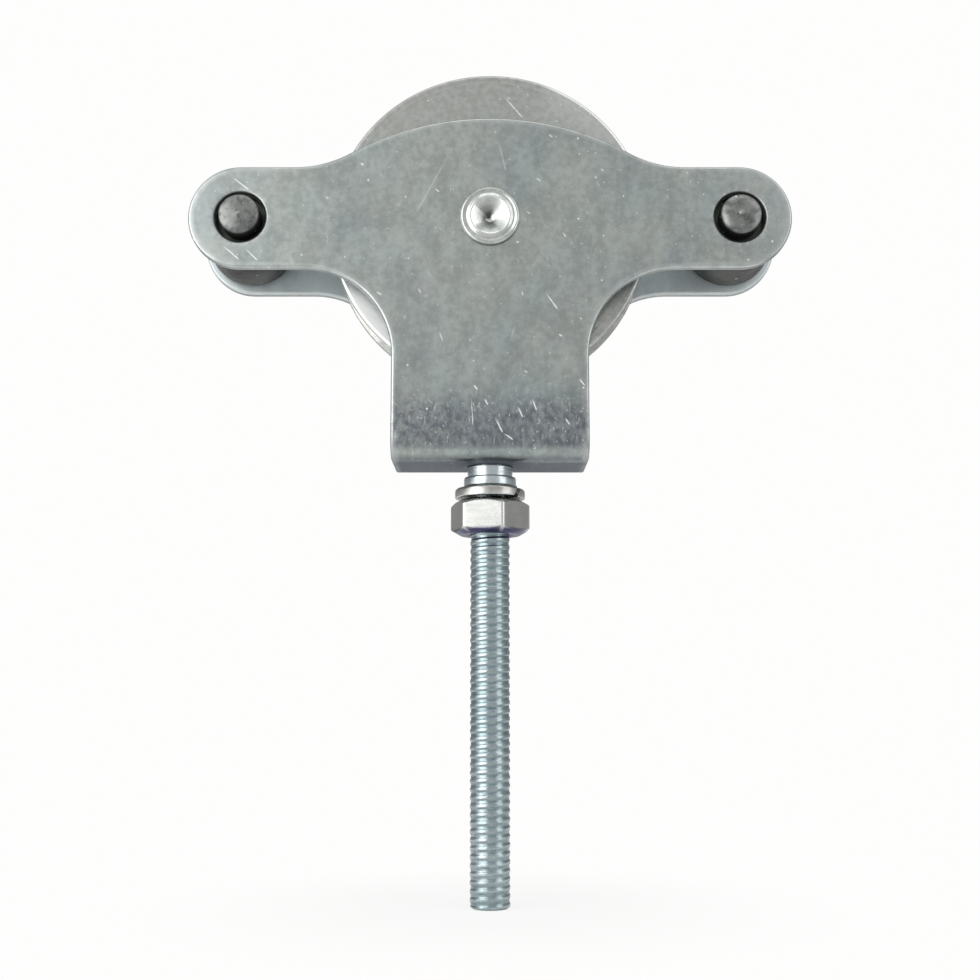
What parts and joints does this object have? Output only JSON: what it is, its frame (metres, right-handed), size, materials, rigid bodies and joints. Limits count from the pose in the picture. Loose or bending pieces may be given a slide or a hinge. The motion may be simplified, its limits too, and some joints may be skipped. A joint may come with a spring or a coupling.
{
  "type": "clothesline pulley",
  "caption": "Grooved sheave in a folded steel fork, with a guide roller at each end of its arms and a threaded stem with a nut and a spring washer.",
  "frame": {"origin": "on the stem's axis, in the plane of the shoulder's underside, where the stem bears on what carries it", "axes": "+Z along the stem towards the sheave, Y along the sheave's axle with the rolled rivet end at -Y, X along the two arms"},
  "size_m": [0.095, 0.0216, 0.132],
  "materials": {
    "zinc_plate": "cloudy zinc plate with scratches",
    "stem_zinc": "bright blue zinc plate",
    "sheave_zinc": "satin zinc plate",
    "rivet_zinc": "bright zinc plate",
    "sleeve_steel": "plain turned steel",
    "dark_steel": "dark oiled steel",
    "washer_zinc": "satin zinc plate",
    "nut_zinc": "bright zinc plate"
  },
  "bodies": {
    "frame": {"fork_bracket": "zinc_plate", "stem_stud": "stem_zinc", "axle_rivet": "rivet_zinc", "axle_sleeve": "sleeve_steel"},
    "sheave": {"sheave": "sheave_zinc"},
    "left_roller": {"guide_roller_left": "dark_steel"},
    "right_roller": {"guide_roller_right": "dark_steel"},
    "washer": {"spring_washer": "washer_zinc"},
    "nut": {"hex_nut": "nut_zinc"}
  },
  "joints": [
    {"name": "sheave_spin", "type": "hinge", "parent": "frame", "child": "sheave", "pos_m": [0, 0, 0.0418], "axis": [0, 1, 0], "continuous": true},
    {"name": "left_roller_spin", "type": "hinge", "parent": "frame", "child": "left_roller", "pos_m": [-0.0393, 0, 0.0418], "axis": [0, 1, 0], "continuous": true},
    {"name": "right_roller_spin", "type": "hinge", "parent": "frame", "child": "right_roller", "pos_m": [0.0393, 0, 0.0418], "axis": [0, 1, 0], "continuous": true},
    {"name": "washer_travel", "type": "slide", "parent": "frame", "child": "washer", "axis": [0, 0, -1], "range_m": [0, 0.0572]},
    {"name": "nut_turn", "type": "hinge", "parent": "washer", "child": "nut", "pos_m": [0, 0, -0.00487], "axis": [0, 0, -1], "range_deg": [0, 16200]}
  ],
  "couplings": [
    {"joint": "washer_travel", "follows": "nut_turn", "m_per_rad": 0.00020213}
  ]
}
